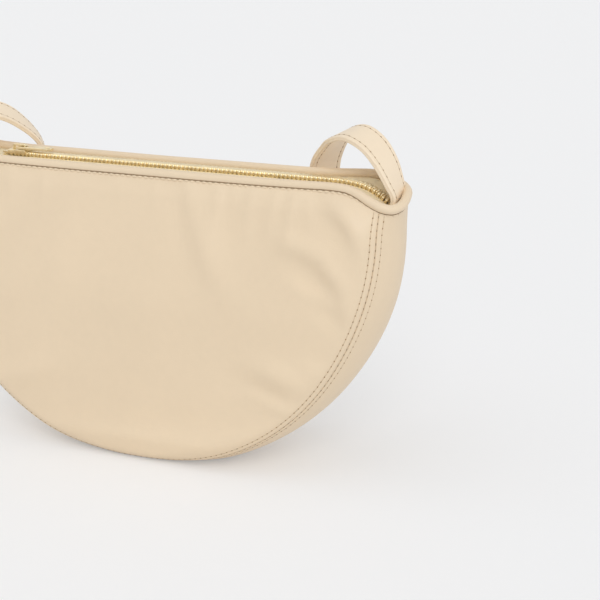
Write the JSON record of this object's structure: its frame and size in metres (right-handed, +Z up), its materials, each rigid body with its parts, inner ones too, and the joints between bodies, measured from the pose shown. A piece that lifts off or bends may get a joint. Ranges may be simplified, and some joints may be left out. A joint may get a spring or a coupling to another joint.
{
  "type": "half moon bag",
  "caption": "Half moon shoulder bag in smooth leather with a rolled, zipped mouth, a rounded gusset, a lining and a sewn-in strap.",
  "frame": {"origin": "middle of the flat base, on the floor", "axes": "+Z up, +X along the mouth to the right seen from the front, the front faces -Y"},
  "size_m": [0.3038, 0.0843, 0.1973],
  "materials": {
    "leather": "smooth, satin, cream",
    "lining": "woven, matt",
    "zip_tape": "ribbed woven tape",
    "brass": "polished, slightly worn",
    "cord": "twisted cotton"
  },
  "bodies": {
    "bag": {"front_panel": "leather", "back_panel": "leather", "gusset": "leather", "front_lining": "lining", "back_lining": "lining", "gusset_lining": "lining", "mouth_binding": "leather", "binding_cord": "cord", "strap_tail_left": "leather", "strap_tail_right": "leather", "zip_end_tape_left": "zip_tape", "zip_end_tape_right": "zip_tape", "zip_end_teeth_left": "brass", "zip_end_teeth_right": "brass", "zip_top_stops": "brass", "zip_bottom_stop": "brass"},
    "zip_front": {"zip_tape_front": "zip_tape", "zip_teeth_front": "brass"},
    "zip_back": {"zip_tape_back": "zip_tape", "zip_teeth_back": "brass"},
    "slider": {"slider_body": "brass", "slider_bridge": "brass"},
    "pull": {"pull_tab": "brass"},
    "strap": {"strap_outer": "leather", "strap_inner": "leather"}
  },
  "joints": [
    {"name": "zip_slide", "type": "slide", "parent": "bag", "child": "slider", "axis": [1, 0, 0], "range_m": [0, 0.1745]},
    {"name": "pull_swing", "type": "hinge", "parent": "slider", "child": "pull", "pos_m": [-0.08725, 0, 0.17245], "axis": [0, -1, 0], "range_deg": [0, 90]},
    {"name": "zip_front_open", "type": "hinge", "parent": "bag", "child": "zip_front", "pos_m": [0, -0.0114, 0.1687], "axis": [-1, 0, 0], "range_deg": [0, 80]},
    {"name": "zip_back_open", "type": "hinge", "parent": "bag", "child": "zip_back", "pos_m": [0, 0.0114, 0.1687], "axis": [1, 0, 0], "range_deg": [0, 80]},
    {"name": "strap_swing", "type": "hinge", "parent": "bag", "child": "strap", "pos_m": [0, 0, 0.163], "axis": [1, 0, 0], "range_deg": [0, 35]}
  ],
  "couplings": [
    {"joint": "zip_back_open", "follows": "zip_front_open", "ratio": 1}
  ]
}
